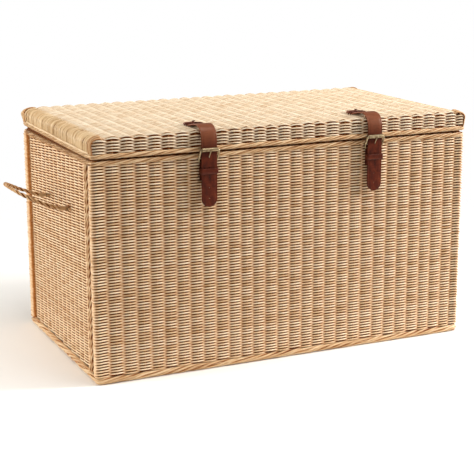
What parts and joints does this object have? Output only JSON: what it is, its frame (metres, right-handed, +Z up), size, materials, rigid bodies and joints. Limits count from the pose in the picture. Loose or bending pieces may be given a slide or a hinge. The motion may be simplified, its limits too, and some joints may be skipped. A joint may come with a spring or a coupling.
{
  "type": "wicker storage trunk",
  "caption": "Rectangular woven cane trunk with a back-hinged shallow lid, buckled leather straps in front and rope-twist handles on both ends.",
  "frame": {"origin": "centre of the body's footprint on the floor, at the underside of the middle floor runner", "axes": "+X along the width to the right-hand end as seen from the front, -Y towards the front with the straps, +Z up"},
  "size_m": [1.1302, 0.5319, 0.5395],
  "materials": {
    "woven_cane": "round golden cane, closely woven, satin",
    "twisted_cane": "round golden cane, laid in slanting strands, satin",
    "cane_pole": "smooth rattan pole, satin",
    "pale_wood": "planed lath, unfinished",
    "leather": "thick dark red-brown strap leather, waxed",
    "brass": "antique, slightly dull",
    "steel_pin": "plain drawn wire"
  },
  "bodies": {
    "trunk": {"front_panel": "woven_cane", "back_panel": "woven_cane", "left_panel": "woven_cane", "right_panel": "woven_cane", "bottom_panel": "woven_cane", "corner_poles": "cane_pole", "top_rails": "pale_wood", "bottom_rails": "cane_pole", "floor_battens": "pale_wood", "top_rim": "twisted_cane", "bottom_rim": "twisted_cane", "corner_ropes_left": "twisted_cane", "corner_ropes_right": "twisted_cane", "chape_left": "leather", "chape_right": "leather", "keeper_left": "leather", "keeper_right": "leather", "chape_rivets": "brass", "hinge_body_leaves": "brass", "hinge_pins": "steel_pin", "hinge_body_screws": "brass", "handle_staples_left": "cane_pole", "handle_staples_right": "cane_pole"},
    "lid": {"lid_top_panel": "woven_cane", "lid_front_skirt": "woven_cane", "lid_back_skirt": "woven_cane", "lid_left_end": "woven_cane", "lid_right_end": "woven_cane", "lid_border": "twisted_cane", "lid_rails": "pale_wood", "lid_battens": "pale_wood", "lid_corner_canes": "twisted_cane", "hinge_lid_leaves": "brass", "hinge_lid_screws": "brass", "strap_top_left": "leather", "strap_top_right": "leather", "strap_lacing_left": "leather", "strap_lacing_right": "leather"},
    "strap_left": {"strap_tail_left": "leather"},
    "buckle_left": {"buckle_frame_left": "brass"},
    "roller_left": {"buckle_roller_left": "brass"},
    "prong_left": {"buckle_prong_left": "brass"},
    "handle_left": {"handle_left": "twisted_cane"},
    "strap_right": {"strap_tail_right": "leather"},
    "buckle_right": {"buckle_frame_right": "brass"},
    "roller_right": {"buckle_roller_right": "brass"},
    "prong_right": {"buckle_prong_right": "brass"},
    "handle_right": {"handle_right": "twisted_cane"}
  },
  "joints": [
    {"name": "lid_hinge", "type": "hinge", "parent": "trunk", "child": "lid", "pos_m": [0, 0.25325, 0.482], "axis": [-1, 0, 0], "range_deg": [0, 105]},
    {"name": "strap_fold_left", "type": "hinge", "parent": "lid", "child": "strap_left", "pos_m": [-0.194, -0.263, 0.4805], "axis": [-1, 0, 0], "range_deg": [-68.25, 0]},
    {"name": "buckle_swing_left", "type": "hinge", "parent": "trunk", "child": "buckle_left", "pos_m": [-0.194, -0.2554, 0.462], "axis": [1, 0, 0], "range_deg": [0, 89.25]},
    {"name": "roller_spin_left", "type": "hinge", "parent": "buckle_left", "child": "roller_left", "pos_m": [-0.194, -0.26855, 0.48896], "axis": [1, 0, 0], "continuous": true},
    {"name": "prong_swing_left", "type": "hinge", "parent": "trunk", "child": "prong_left", "pos_m": [-0.194, -0.2554, 0.462], "axis": [1, 0, 0], "range_deg": [0, 89.25]},
    {"name": "strap_fold_right", "type": "hinge", "parent": "lid", "child": "strap_right", "pos_m": [0.208, -0.263, 0.4805], "axis": [-1, 0, 0], "range_deg": [-68.25, 0]},
    {"name": "buckle_swing_right", "type": "hinge", "parent": "trunk", "child": "buckle_right", "pos_m": [0.208, -0.2554, 0.462], "axis": [1, 0, 0], "range_deg": [0, 89.25]},
    {"name": "roller_spin_right", "type": "hinge", "parent": "buckle_right", "child": "roller_right", "pos_m": [0.208, -0.26855, 0.48896], "axis": [1, 0, 0], "continuous": true},
    {"name": "prong_swing_right", "type": "hinge", "parent": "trunk", "child": "prong_right", "pos_m": [0.208, -0.2554, 0.462], "axis": [1, 0, 0], "range_deg": [0, 89.25]},
    {"name": "handle_swing_left", "type": "hinge", "parent": "trunk", "child": "handle_left", "pos_m": [-0.451, 0, 0.35], "axis": [0, 1, 0], "range_deg": [-95, 50]},
    {"name": "handle_swing_right", "type": "hinge", "parent": "trunk", "child": "handle_right", "pos_m": [0.451, 0, 0.35], "axis": [0, -1, 0], "range_deg": [-95, 50]}
  ],
  "couplings": [
    {"joint": "strap_fold_left", "follows": "lid_hinge", "ratio": -0.65},
    {"joint": "buckle_swing_left", "follows": "lid_hinge", "ratio": 0.85},
    {"joint": "prong_swing_left", "follows": "lid_hinge", "ratio": 0.85},
    {"joint": "strap_fold_right", "follows": "lid_hinge", "ratio": -0.65},
    {"joint": "buckle_swing_right", "follows": "lid_hinge", "ratio": 0.85},
    {"joint": "prong_swing_right", "follows": "lid_hinge", "ratio": 0.85}
  ]
}
